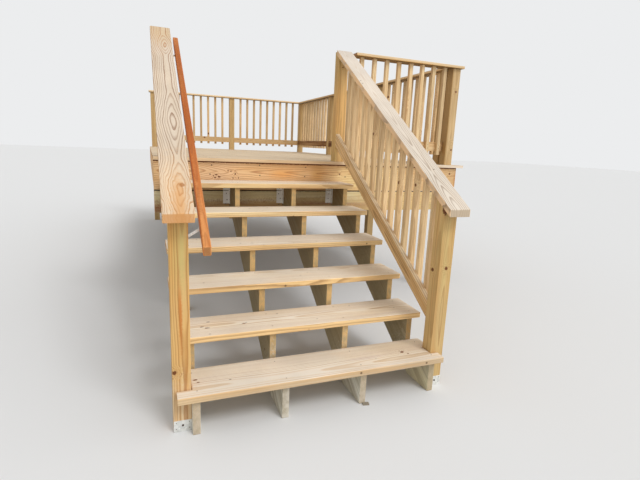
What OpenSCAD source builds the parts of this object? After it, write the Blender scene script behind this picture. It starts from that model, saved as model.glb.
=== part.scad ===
// Timber deck stairs: an open flight of six plank treads on four notched
// stringers, with its guard rails and the small deck that it climbs to.
// Millimetres, +Z up. X runs along the treads and Y runs up the flight.

/* [Timber] */
// Thickness of the planks, rails and sloped caps
plank_t = 38; // [30:1:50]
// Side of the square posts
post_w = 89; // [70:1:120]
// Depth of a tread plank, front to back
tread_w = 286; // [270:1:300]
// Depth of the plank that a stringer is cut from
stringer_w = 286; // [250:1:330]
// Height of the rim boards, joists and beams
rim_h = 235; // [200:1:260]
// Height of the board below the front rim
lower_board_h = 184; // [160:1:220]
// Width of the caps on the flight and on the guards
cap_w = 140; // [120:1:180]
// Thickness of the flat caps on the guards
flat_cap_t = 25; // [20:1:38]
// Height of the bottom rails
rail_h = 89; // [60:1:120]
// Side of the square balusters
picket = 35; // [30:1:45]
// Thickness of the deck boards
board_t = 25; // [20:1:38]

/* [Flight] */
// Width over the two bottom posts
stair_w = 1605; // [1400:5:1800]
// Height of the first tread above the ground
first_rise = 227; // [200:1:260]
// Height from one tread to the next
rise = 182.5; // [170:0.5:195]
// Height from the last tread to the deck
top_rise = 176; // [160:1:195]
// Distance from one tread's front to the next
run = 281; // [272:1:290]
// Overhang of a tread past the stringer's cut
nosing = 24; // [12:1:30]
// Width of the strip of the first tread in front of the posts
front_strip = 75.5; // [60:0.5:100]
// Overhang of the treads past the left stringer
tread_left = 73; // [40:1:85]
// Overhang of the treads past the right stringer
tread_right = 47; // [30:1:85]
// Gap left round a post where a board is notched
notch_gap = 3; // [2:0.5:6]

/* [Stair rails] */
// Height of a sloped cap's top above the line of the nosings
cap_rise = 908; // [850:1:1000]
// Reach of the caps in front of the bottom posts
cap_reach = 79; // [40:1:120]
// Height of the stair's bottom rail above the line of the nosings
stair_rail_lift = 95; // [60:1:130]
// Distance between the centres of the stair's balusters
stair_pitch = 104.5; // [90:0.5:125]
// First baluster's centre from the stair's bottom right post
stair_first = 90; // [70:1:110]
// Length of baluster left below the stair's bottom rail
stair_drop = 22; // [10:1:40]
// Side of the square handrail
handrail_w = 38; // [32:1:50]
// Height of the handrail's top above the line of the nosings
handrail_rise = 757; // [700:1:800]
// Clear gap between a left post and the handrail
handrail_gap = 57; // [40:1:80]
// Reach of the handrail in front of the bottom posts
handrail_reach = 84; // [40:1:120]
// Length of the handrail past the front of the deck
handrail_past = 240; // [150:5:260]
// Length of the taper at the handrail's upper end
handrail_taper = 120; // [60:5:140]

/* [Deck] */
// Width over the side rims
deck_w = 2888; // [2500:10:3400]
// Depth over the front and rear rims
deck_l = 4877; // [4200:1:5300]
// Overhang of the deck boards at the front and rear
front_over = 25; // [10:1:50]
// Overhang of the deck boards past the right rim
side_over = 66; // [20:1:90]
// Height of a flat cap's top above the deck
guard_h = 952; // [900:1:1100]
// Height of a guard's bottom rail above the deck
guard_rail_lift = 132; // [90:1:160]
// Length of baluster left below a guard's bottom rail
guard_drop = 36; // [10:1:60]
// Distance between the centres of the guard's balusters
guard_pitch = 128; // [110:1:140]
// First baluster's centre from the stair's top right post
front_first = 146; // [100:1:160]
// Gap between the front corner post and the side guard's first post
twin_gap = 30; // [20:1:60]
// Gap between the front cap's left end and the sloped cap
cap_gap = 42; // [5:1:60]
// Gap between the front rim and the board below it
lower_gap = 5; // [2:1:12]
// Distance between the centres of the joists
joist_pitch = 406; // [380:1:430]
// Distance from the left stringer to the front left support
support_gap = 3; // [1:1:20]
// Distance from the house side to the supports under the beams
support_inset = 170; // [100:5:400]
// Distance from the side posts to the support under the second beam
far_inset = 430; // [200:5:700]

/* [Metalwork] */
// Thickness of the post bases
base_t = 4; // [3:0.5:6]
// Height of a post base's side plates
base_h = 62; // [45:1:90]
// Thickness of the stringer hangers and of the handrail brackets
plate_t = 3; // [2:0.5:5]
// Length of a hanger's flanges
hanger_w = 50; // [30:1:70]
// Width of a handrail bracket
bracket_w = 26; // [18:1:40]
// Height of a bracket's plate on the post
bracket_h = 70; // [50:1:100]

/* [Hidden] */

treads = 6;
stringers = 4;
side_bays = 3;
rear_bays = 2;

// The flight's slope, and the plumb depth of a board laid along it
slope = rise / run;
slope_angle = atan(slope);
function plumb(thickness) = thickness / cos(slope_angle);

// Site frame: the left post's outer face is x = 0, the bottom posts' front
// faces are y = 0 and the ground is z = 0
deck_z = first_rise + (treads - 1) * rise + top_rise;
frame_z = deck_z - board_t;
rim_z = frame_z - rim_h;
beam_z = rim_z - rim_h;
cut_front = nosing - front_strip;
rim_front = cut_front + treads * run;
rim_back = rim_front + plank_t;
right_post_x = stair_w - post_w;
stringer_step = (stair_w - 2 * post_w - plank_t) / (stringers - 1);
guard_z = deck_z + guard_h;
cap_z = guard_z - flat_cap_t;

// Line of the nosings at y = 0, and the sloped members measured from it
nosing_z = first_rise + front_strip * slope;
cap_line = nosing_z + cap_rise;
cap_under = cap_line - plumb(plank_t);
handrail_line = nosing_z + handrail_rise;
handrail_x = post_w + handrail_gap;
handrail_end = rim_front + handrail_past;
stair_rail_low = nosing_z + stair_rail_lift;
stair_rail_top = stair_rail_low + plumb(rail_h);

// Inner faces of the rims, and the posts that stand inside them
inner_x = deck_w - 2 * plank_t;
inner_y = rim_front + deck_l - plank_t;
side_post_x = inner_x - post_w;
rear_post_y = inner_y - post_w;
side_step = (rear_post_y - rim_back) / side_bays;
rear_step = side_post_x / rear_bays;
twin_y = rim_back + post_w + twin_gap;
cap_out = (cap_w - post_w) / 2;
support_x = post_w + plank_t + support_gap;
panel_rail_z = deck_z + guard_rail_lift;

// The box round the whole structure, whose bottom centre is the origin
x_low = -max(plank_t, cap_out);
x_high = deck_w - plank_t + side_over;
y_low = -max(front_strip, cap_reach, handrail_reach);
y_high = inner_y + plank_t + front_over;
mid_x = (x_low + x_high) / 2;
mid_y = (y_low + y_high) / 2;

// Height above the ground of a sloped line at one y
function line_z(at_zero, y) = at_zero + slope * y;

// Balusters that fit a clear length when they start at a given centre
function count_from(clear, first, pitch) = floor((clear - first - picket) / pitch) + 1;

// Balusters that fit a clear length, and the first one's place when centred
function picket_count(clear, pitch) = round(clear / pitch) - 1;
function centred(clear, count, pitch) = (clear - (count - 1) * pitch) / 2;

// Moves the site frame so that the box's bottom centre is the origin
module place()
    translate([-mid_x, -mid_y, 0])
        children();

module box(low, high)
    translate(low)
        cube(high - low);

// Extrudes an outline given in y and z along x
module across(x, width)
    translate([x, 0, 0])
        rotate([90, 0, 90])
            linear_extrude(width)
                children();

// A sloped member with plumb ends, from y0 to y1, below the line at_zero
module sloped(x, width, at_zero, depth, y0, y1)
    across(x, width)
        polygon([[y0, line_z(at_zero, y0)], [y1, line_z(at_zero, y1)],
                 [y1, line_z(at_zero, y1) - plumb(depth)],
                 [y0, line_z(at_zero, y0) - plumb(depth)]]);

// One stringer: a plank with a level foot, a plumb cut at the rim and steps
module stringer(number) {
    x = post_w + (number - 1) * stringer_step;
    seat = first_rise - plank_t;
    low_edge = seat - slope * cut_front - plumb(stringer_w);
    steps = [for (i = [0 : treads - 1])
                 for (p = [[cut_front + i * run, seat + i * rise],
                           [cut_front + (i + 1) * run, seat + i * rise]]) p];
    color("darkkhaki")
        across(x, plank_t)
            polygon(concat([[-low_edge / slope, 0], [cut_front, 0]], steps,
                           [[rim_front, line_z(low_edge, rim_front)]]));
}

module stringer_1() place() stringer(1);
module stringer_2() place() stringer(2);
module stringer_3() place() stringer(3);
module stringer_4() place() stringer(4);

// One tread plank, seated on the cuts of the stringers
module tread(number) {
    front = -front_strip + (number - 1) * run;
    top = first_rise + (number - 1) * rise;
    color("wheat")
        box([post_w - tread_left, front, top - plank_t],
            [right_post_x + tread_right, front + tread_w, top]);
}

// The first tread is notched round both bottom posts
module tread_1() place()
    difference() {
        tread(1);
        for (x = [0, right_post_x])
            box([x - notch_gap, -notch_gap, 0],
                [x + post_w + notch_gap, post_w + notch_gap, first_rise + 1]);
    }

module tread_2() place() tread(2);
module tread_3() place() tread(3);
module tread_4() place() tread(4);
module tread_5() place() tread(5);
module tread_6() place() tread(6);

// A bottom post stands in its base and is cut to the slope under the cap
module bottom_post(x)
    color("goldenrod")
        across(x, post_w)
            polygon([[0, base_t], [post_w, base_t],
                     [post_w, line_z(cap_under, post_w)], [0, cap_under]]);

module bottom_post_left() place() bottom_post(0);
module bottom_post_right() place() bottom_post(right_post_x);

// Each base is a steel channel with a plate before and behind its post
module post_bases() place()
    color("silver")
        for (x = [0, right_post_x])
            across(x, post_w)
                polygon([[-base_t, 0], [post_w + base_t, 0],
                         [post_w + base_t, base_h], [post_w, base_h],
                         [post_w, base_t], [0, base_t], [0, base_h],
                         [-base_t, base_h]]);

// A top post is fixed inside the front rim and reaches the caps' level
module top_post(x)
    color("goldenrod")
        box([x, rim_back, rim_z], [x + post_w, rim_back + post_w, guard_z]);

module top_post_left() place() top_post(0);
module top_post_right() place() top_post(right_post_x);

// A sloped cap is cut plumb at its lower end and meets the top post's face
module stair_cap(x)
    color("antiquewhite")
        sloped(x - cap_out, cap_w, cap_line, plank_t, -cap_reach, rim_back);

module stair_cap_left() place() stair_cap(0);
module stair_cap_right() place() stair_cap(right_post_x);

// The handrail's outer side tapers by two thirds of its width at the upper end
module handrail_bar()
    difference() {
        sloped(handrail_x, handrail_w, handrail_line, handrail_w,
               -handrail_reach, handrail_end);
        translate([handrail_x + handrail_w, handrail_end, 0])
            linear_extrude(2 * handrail_line)
                polygon([[0, -handrail_taper], [1, -handrail_taper], [1, 1],
                         [-handrail_w * 2 / 3, 1], [-handrail_w * 2 / 3, 0]]);
    }

module handrail() place()
    color("chocolate") handrail_bar();

// A bracket: a plate on the post's inner face and an arm under the handrail
module bracket(y) {
    under = line_z(handrail_line, y) - plumb(handrail_w);
    middle = handrail_x + handrail_w / 2;
    arm_drop = bracket_h * 2 / 3;
    difference() {
        union() {
            box([post_w, y - bracket_w / 2, under - bracket_h],
                [post_w + plate_t, y + bracket_w / 2, under]);
            translate([0, y + bracket_w / 2, 0])
                rotate([90, 0, 0])
                    linear_extrude(bracket_w)
                        polygon([[post_w + plate_t, under - arm_drop],
                                 [middle, under - plate_t],
                                 [middle, under + plumb(handrail_w) / 2],
                                 [handrail_x, under + plumb(handrail_w) / 2],
                                 [handrail_x, under - plate_t],
                                 [post_w + plate_t, under - arm_drop + 3 * plate_t]]);
        }
        handrail_bar();
    }
}

module handrail_brackets() place()
    color("gainsboro") {
        bracket(post_w - bracket_w / 2);
        bracket(rim_back + bracket_w);
    }

// The stair's bottom rail lies between the right posts, flush with their
// inner faces, and its balusters stand on its outer side
module stair_bottom_rail() place()
    color("burlywood")
        sloped(right_post_x, plank_t, stair_rail_top, rail_h, post_w, rim_back);

module stair_balusters() place() {
    count = count_from(rim_back - post_w, stair_first, stair_pitch);
    color("burlywood")
        for (i = [0 : count - 1]) {
            y = post_w + stair_first + i * stair_pitch - picket / 2;
            low = stair_rail_low - stair_drop;
            across(right_post_x + plank_t, picket)
                polygon([[y, line_z(low, y)], [y + picket, line_z(low, y)],
                         [y + picket, line_z(cap_under, y + picket)],
                         [y, line_z(cap_under, y)]]);
        }
}

// Steel angles fix the upper ends of the stringers to the rim boards
module stringer_hangers() place()
    color("silver")
        for (i = [0 : stringers - 1]) {
            x = post_w + i * stringer_step;
            seat = first_rise - plank_t;
            low = line_z(seat - slope * cut_front - plumb(stringer_w), rim_front);
            top = seat + (treads - 1) * rise;
            difference() {
                union() {
                    box([x - plate_t, rim_front - hanger_w, low],
                        [x, rim_front, top]);
                    box([x - hanger_w, rim_front - plate_t, low], [x, rim_front, top]);
                }
                box([x - hanger_w - 1, rim_front - hanger_w, rim_z - lower_gap],
                    [x - plate_t, rim_front + 1, rim_z]);
            }
        }

module front_rim() place()
    color("sandybrown")
        box([-plank_t, rim_front, rim_z], [inner_x + plank_t, rim_back, frame_z]);

module front_lower_board() place()
    color("peru")
        box([-plank_t, rim_front, rim_z - lower_gap - lower_board_h],
            [inner_x + plank_t, rim_back, rim_z - lower_gap]);

module side_rim() place()
    color("sandybrown")
        box([inner_x, rim_back, rim_z], [inner_x + plank_t, inner_y, frame_z]);

module rear_rim() place()
    color("sandybrown")
        box([-plank_t, inner_y, rim_z],
            [inner_x + plank_t, inner_y + plank_t, frame_z]);

module house_side_rim() place()
    color("sandybrown")
        box([-plank_t, rim_back, rim_z], [0, inner_y, frame_z]);

// A joist that would meet a post stands against the nearer side of it
function beside(x, post) =
    x + plank_t <= post || x >= post + post_w ? x
        : x + plank_t / 2 < post + post_w / 2 ? post - plank_t : post + post_w;

// Joists from rim to rim, as many as fit between the posts of both sides
module joists() place()
    color("tan")
        for (i = [1 : floor((side_post_x - plank_t) / joist_pitch)]) {
            middle = i * joist_pitch - plank_t / 2;
            x = beside(beside(middle, rear_step), right_post_x);
            box([x, rim_back, rim_z], [x + plank_t, inner_y, frame_z]);
        }

// A beam under the joists behind each inner row of posts
function beam_y(row) = rim_back + row * side_step + post_w;

module beams() place()
    color("tan")
        for (row = [1 : side_bays - 1])
            box([0, beam_y(row), beam_z],
                [inner_x, beam_y(row) + plank_t, rim_z]);

// Square holes in the decking where the posts of the guards pass through
module post_hole(x, y)
    box([x - notch_gap, y - notch_gap, frame_z - 1],
        [x + post_w + notch_gap, y + post_w + notch_gap, deck_z + 1]);

module decking() place()
    color("wheat")
        difference() {
            box([-plank_t, rim_front - front_over, frame_z],
                [x_high, y_high, deck_z]);
            for (x = [0, right_post_x])
                post_hole(x, rim_back);
            for (i = [0 : side_bays])
                post_hole(side_post_x, rim_back + i * side_step);
            post_hole(side_post_x, twin_y);
            for (i = [0 : rear_bays - 1])
                post_hole(i * rear_step, rear_post_y);
        }

// A post that runs up to the flat caps, from the ground or from a given height
module guard_post(x, y, foot = 0)
    color("goldenrod")
        box([x, y, foot], [x + post_w, y + post_w, cap_z]);

module front_corner_post() place() guard_post(side_post_x, rim_back);
module side_front_post() place() guard_post(side_post_x, twin_y, rim_z);
module side_post_1() place() guard_post(side_post_x, rim_back + side_step);
module side_post_2() place()
    guard_post(side_post_x, rim_back + 2 * side_step, rim_z);
module rear_corner_post() place() guard_post(side_post_x, rear_post_y);
module rear_middle_post() place() guard_post(rear_step, rear_post_y);
module rear_left_post() place() guard_post(0, rear_post_y);

// A short post with the beam's length at its middle
module under_beam(x, row)
    translate([x, beam_y(row) + (plank_t - post_w) / 2, 0])
        cube([post_w, post_w, beam_z]);

// Short posts under the front left and under the beams
module support_posts() place()
    color("tan") {
        box([support_x, rim_back, 0], [support_x + post_w, rim_back + post_w, frame_z]);
        for (row = [1 : side_bays - 1])
            under_beam(support_inset, row);
        under_beam(side_post_x - far_inset, side_bays - 1);
    }

module front_guard_cap() place()
    color("navajowhite")
        box([stair_w + cap_out + cap_gap, rim_back - cap_out, cap_z],
            [inner_x + cap_out, rim_back + post_w + cap_out, guard_z]);

module side_guard_cap() place()
    color("navajowhite")
        box([side_post_x - cap_out, rim_back + post_w + cap_out, cap_z],
            [inner_x + cap_out, inner_y + cap_out, guard_z]);

module rear_guard_cap() place()
    color("navajowhite")
        box([-cap_out, rear_post_y - cap_out, cap_z],
            [side_post_x - cap_out, inner_y + cap_out, guard_z]);

// One bay of a guard along x: a bottom rail with balusters on its low-y side
module bay(clear, first, count) {
    low = panel_rail_z - guard_drop;
    box([0, picket, panel_rail_z], [clear, picket + plank_t, panel_rail_z + rail_h]);
    for (i = [0 : count - 1])
        translate([first + i * guard_pitch - picket / 2, 0, low])
            cube([picket, picket, cap_z - low]);
}

module front_guard_panel() place() {
    clear = side_post_x - stair_w;
    count = count_from(clear, front_first, guard_pitch);
    color("burlywood")
        translate([stair_w, rim_back + post_w - plank_t - picket, 0])
            bay(clear, front_first, count);
}

module side_guard_panels() place()
    color("burlywood")
        for (i = [0 : side_bays - 1]) {
            start = (i == 0 ? twin_y : rim_back + i * side_step) + post_w;
            clear = rim_back + (i + 1) * side_step - start;
            count = picket_count(clear, guard_pitch);
            translate([side_post_x + plank_t + picket, start, 0])
                rotate([0, 0, 90])
                    bay(clear, centred(clear, count, guard_pitch), count);
        }

module rear_guard_panels() place() {
    clear = rear_step - post_w;
    count = picket_count(clear, guard_pitch);
    color("burlywood")
        for (i = [0 : rear_bays - 1])
            translate([(i + 1) * rear_step, rear_post_y + plank_t + picket, 0])
                rotate([0, 0, 180])
                    bay(clear, centred(clear, count, guard_pitch), count);
}

stringer_1();
stringer_2();
stringer_3();
stringer_4();
tread_1();
tread_2();
tread_3();
tread_4();
tread_5();
tread_6();
bottom_post_left();
bottom_post_right();
post_bases();
top_post_left();
top_post_right();
stair_cap_left();
stair_cap_right();
handrail();
handrail_brackets();
stair_bottom_rail();
stair_balusters();
stringer_hangers();
front_rim();
front_lower_board();
side_rim();
rear_rim();
house_side_rim();
joists();
beams();
decking();
front_corner_post();
side_front_post();
side_post_1();
side_post_2();
rear_corner_post();
rear_middle_post();
rear_left_post();
support_posts();
front_guard_cap();
side_guard_cap();
rear_guard_cap();
front_guard_panel();
side_guard_panels();
rear_guard_panels();
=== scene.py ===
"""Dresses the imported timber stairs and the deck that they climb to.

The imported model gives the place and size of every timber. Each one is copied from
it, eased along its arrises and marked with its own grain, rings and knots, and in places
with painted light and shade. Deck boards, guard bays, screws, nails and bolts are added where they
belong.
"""

import logging
import math
import random
from dataclasses import dataclass
from enum import Enum
from typing import ClassVar, Iterable, Sequence

import bmesh
import bpy
from mathutils import Matrix, Vector

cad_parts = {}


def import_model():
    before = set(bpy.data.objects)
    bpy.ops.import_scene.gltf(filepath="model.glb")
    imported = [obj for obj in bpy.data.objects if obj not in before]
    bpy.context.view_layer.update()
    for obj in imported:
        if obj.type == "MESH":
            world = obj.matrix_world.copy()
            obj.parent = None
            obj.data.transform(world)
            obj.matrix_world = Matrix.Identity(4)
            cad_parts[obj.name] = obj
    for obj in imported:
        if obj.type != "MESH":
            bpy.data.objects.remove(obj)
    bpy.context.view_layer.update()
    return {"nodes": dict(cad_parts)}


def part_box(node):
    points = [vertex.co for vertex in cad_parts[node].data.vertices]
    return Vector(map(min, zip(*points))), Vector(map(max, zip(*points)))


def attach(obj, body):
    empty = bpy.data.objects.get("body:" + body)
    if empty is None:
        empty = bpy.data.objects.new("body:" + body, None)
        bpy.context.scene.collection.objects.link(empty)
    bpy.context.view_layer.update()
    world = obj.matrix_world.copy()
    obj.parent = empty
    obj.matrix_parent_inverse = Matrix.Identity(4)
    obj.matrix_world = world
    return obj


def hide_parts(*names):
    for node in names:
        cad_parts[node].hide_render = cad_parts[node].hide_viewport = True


log = logging.getLogger("deck_stairs")

Colour = tuple[int, int, int]
Point = tuple[float, float, float]
Span = tuple[float, float, Vector]
Socket = bpy.types.NodeSocket

# A post's width, a plank's thickness and the stair's width over its posts
POST, PLANK, STAIR_WIDTH = 0.089, 0.038, 1.605
# A step's rise and run, and how many stringers and joists there are and how far apart
RISE, RUN = 0.1825, 0.281
STRINGERS, JOISTS = 4, 6
STRINGER_PITCH, JOIST_PITCH = (STAIR_WIDTH - 2 * POST - PLANK) / (STRINGERS - 1), 0.406
# Places on the site plan: the right posts' left side, the side posts' inner side, the
# first tread's front and top, and the fronts of the rim and of the posts behind it
RIGHT_POST, SIDE_POST = STAIR_WIDTH - POST, 2.723
FIRST_FRONT, FIRST_TOP = -0.0755, 0.227
RIM_FRONT = 1.6345
POST_FRONT = RIM_FRONT + PLANK

SLOPE = Vector((0.0, RUN, RISE)).normalized()
UP, FRONT, RIGHT, BACK = Vector((0, 0, 1)), Vector((0, -1, 0)), Vector((1, 0, 0)), Vector((0, 1, 0))


class Plan:
    """The site plan: metres from the left bottom post's outer front edge, on the ground."""

    def __init__(self) -> None:
        """Finds the plan's corner in the part's frame."""
        low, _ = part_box("bottom_post_left")
        self.corner = Vector((low.x, low.y, 0.0))

    def at(self, x: float, y: float, z: float) -> Vector:
        """Turns a point of the plan into the part's frame."""
        return self.corner + Vector((x, y, z))


def paint(colour: Colour) -> tuple[float, float, float, float]:
    """Turns a written colour of three numbers up to 255 into a shader's colour.

    Args:
        colour: Red, green and blue as a screen shows them.

    Returns:
        The same colour with linear channels and full alpha.
    """
    parts = [c / 255 for c in colour]
    linear = [p / 12.92 if p <= 0.04045 else ((p + 0.055) / 1.055) ** 2.4 for p in parts]
    return (linear[0], linear[1], linear[2], 1.0)


class Slot(Enum):
    """Names of material slots, passed to finish(), which doesn't use them."""

    POSTS = "posts"
    SUPPORT = "support_timber"
    STRINGERS = "stringers"
    TREADS = "treads"
    STAIR_CAPS = "stair_caps"
    STAINED = "stained_rail"
    BALUSTERS = "balusters"
    GUARD_CAPS = "guard_caps"
    RIMS = "rim_boards"
    DECK = "deck_boards"
    ZINC = "galvanised"


class Tree:
    """Short calls that add and join the nodes of one shader tree."""

    def __init__(self, tree: bpy.types.NodeTree) -> None:
        """Keeps the tree that the calls add to."""
        self.tree = tree

    def add(self, kind: str, **settings: object) -> bpy.types.Node:
        """Adds a node.

        Args:
            kind: The node's type name.
            **settings: Properties to set on it.

        Returns:
            The new node.
        """
        node = self.tree.nodes.new(kind)
        for name, value in settings.items():
            setattr(node, name, value)
        return node

    def put(self, target: Socket, value: object) -> None:
        """Joins a socket to another, or gives it a plain value.

        Args:
            target: The input to feed.
            value: An output socket or a plain value.
        """
        if isinstance(value, bpy.types.NodeSocket):
            self.tree.links.new(value, target)
        else:
            target.default_value = value

    def feed(self, kind: str, *values: object, **settings: object) -> bpy.types.Node:
        """Adds a node and feeds its inputs.

        Args:
            kind: The node's type name.
            *values: A socket or a value for each of its inputs in order.
            **settings: Properties to set on it.

        Returns:
            The new node.
        """
        node = self.add(kind, **settings)
        for target, value in zip(node.inputs, values):
            self.put(target, value)
        return node

    def place(self, group: "Group", **values: object) -> bpy.types.Node:
        """Adds a shared effect.

        Args:
            group: The effect's node group.
            **values: A socket or a value for each of its inputs.

        Returns:
            The group's node.
        """
        node = self.add("ShaderNodeGroup", node_tree=group.tree)
        for name, value in values.items():
            self.put(node.inputs[name], value)
        return node

    def math(self, operation: str, *values: object) -> Socket:
        """Does one sum on numbers, named as the Math node names it."""
        return self.feed("ShaderNodeMath", *values, operation=operation).outputs[0]

    def times(self, first: object, second: object) -> Socket:
        """Multiplies two numbers."""
        return self.math("MULTIPLY", first, second)

    def line(self, value: object, slope: object, start: object) -> Socket:
        """Multiplies a number and adds another."""
        return self.math("MULTIPLY_ADD", value, slope, start)

    def vector(self, operation: str, *values: object) -> Socket:
        """Does one sum on vectors, named as the Vector Math node names it."""
        node = self.feed("ShaderNodeVectorMath", *values, operation=operation)
        return node.outputs["Value" if operation == "LENGTH" else "Vector"]

    def split(self, vector: Socket) -> tuple[Socket, Socket, Socket]:
        """Gives a vector's three numbers."""
        node = self.feed("ShaderNodeSeparateXYZ", vector)
        return (node.outputs[0], node.outputs[1], node.outputs[2])

    def join(self, x: object, y: object, z: object) -> Socket:
        """Makes a vector of three numbers."""
        return self.feed("ShaderNodeCombineXYZ", x, y, z).outputs[0]

    def step(
        self, value: object, low: object, high: object, start: float = 0.0, end: float = 1.0
    ) -> Socket:
        """Eases a number from one value to another.

        Args:
            value: The number that is read.
            low: Where the change starts.
            high: Where it ends.
            start: The result up to low.
            end: The result from high.

        Returns:
            The eased number.
        """
        settings = {"interpolation_type": "SMOOTHSTEP"}
        return self.feed("ShaderNodeMapRange", value, low, high, start, end, **settings).outputs[0]

    def mix(self, share: object, first: object, second: object) -> Socket:
        """Mixes two colours.

        Args:
            share: The second colour's share.
            first: A colour.
            second: A colour.

        Returns:
            The mixed colour.
        """
        node = self.add("ShaderNodeMix", data_type="RGBA")
        self.put(node.inputs[0], share)
        self.put(node.inputs[6], first)
        self.put(node.inputs[7], second)
        return node.outputs[2]

    def noise(self, vector: object, scale: Point, detail: float, output: str = "Fac") -> Socket:
        """Adds a noise that is stretched along the axes.

        Args:
            vector: Where it is read.
            scale: Waves a metre along each axis.
            detail: How many finer layers it has.
            output: Which of the node's results is wanted.

        Returns:
            The result.
        """
        node = self.feed("ShaderNodeTexNoise", self.vector("MULTIPLY", vector, scale))
        node.inputs["Scale"].default_value = 1.0
        node.inputs["Detail"].default_value = detail
        return node.outputs[output]

    def sway(self, vector: object, scale: Point, detail: float = 1.0) -> Socket:
        """Gives a noise vector whose numbers lie from -0.5 to 0.5."""
        return self.vector("ADD", self.noise(vector, scale, detail, "Color"), (-0.5, -0.5, -0.5))

    def cells(self, vector: object, scale: float = 1.0) -> bpy.types.Node:
        """Adds scattered cells.

        Args:
            vector: Where they are read.
            scale: How many stand along a metre.

        Returns:
            The cells' node, whose Distance and Color are its results.
        """
        node = self.feed("ShaderNodeTexVoronoi", vector)
        node.inputs["Scale"].default_value = scale
        return node

    def scaled(self, colour: object, amount: object) -> Socket:
        """Multiplies a colour or vector by one number."""
        return self.vector("MULTIPLY", colour, self.join(amount, amount, amount))

    def attribute(self, name: str, output: str = "Vector") -> Socket:
        """Reads a value that a mesh carries."""
        return self.add("ShaderNodeAttribute", attribute_name=name).outputs[output]

    def bump(self, height: Socket, strength: float, reach: float) -> Socket:
        """Turns a height into a normal.

        Args:
            height: The height, which rises with its number.
            strength: How much of it shows.
            reach: How high a height of one stands, in metres.

        Returns:
            The normal.
        """
        node = self.add("ShaderNodeBump")
        node.inputs["Strength"].default_value = strength
        node.inputs["Distance"].default_value = reach
        self.put(node.inputs["Height"], height)
        return node.outputs["Normal"]


def blank(name: str) -> tuple[bpy.types.Material, Tree, bpy.types.Node]:
    """Starts a material.

    Args:
        name: The finish's name.

    Returns:
        The material, the calls that add to its tree, and its shader.
    """
    material = bpy.data.materials.new(name)
    material.use_nodes = True
    return material, Tree(material.node_tree), material.node_tree.nodes["Principled BSDF"]


def stand(name: str, data: bpy.types.ID) -> bpy.types.Object:
    """Puts a new object into the scene.

    Args:
        name: Its name.
        data: The mesh, lamp or camera that it shows.

    Returns:
        The object.
    """
    made = bpy.data.objects.new(name, data)
    bpy.context.scene.collection.objects.link(made)
    return made


class Group(Tree):
    """A shared shader effect with named inputs and outputs."""

    KINDS = {"VALUE": "Float", "VECTOR": "Vector", "RGBA": "Color"}

    def __init__(self, name: str, **takes: float | Sequence[float]) -> None:
        """Starts the group.

        Args:
            name: The effect's name.
            **takes: A default for each input, whose length gives its kind.
        """
        super().__init__(bpy.data.node_groups.new(name, "ShaderNodeTree"))
        for title, default in takes.items():
            kind = "Float" if isinstance(default, float) else {3: "Vector", 4: "Color"}[len(default)]
            made = self.tree.interface.new_socket(
                name=title, in_out="INPUT", socket_type="NodeSocket" + kind
            )
            made.default_value = default
        self.entry = self.add("NodeGroupInput")
        self.exit = self.add("NodeGroupOutput")

    def take(self, title: str) -> Socket:
        """Gives an input's value inside the group."""
        return self.entry.outputs[title]

    def give(self, title: str, value: Socket) -> None:
        """Adds an output.

        Args:
            title: Its name.
            value: What it gives.
        """
        self.tree.interface.new_socket(
            name=title, in_out="OUTPUT", socket_type="NodeSocket" + self.KINDS[value.type]
        )
        self.tree.links.new(value, self.exit.inputs[title])


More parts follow.
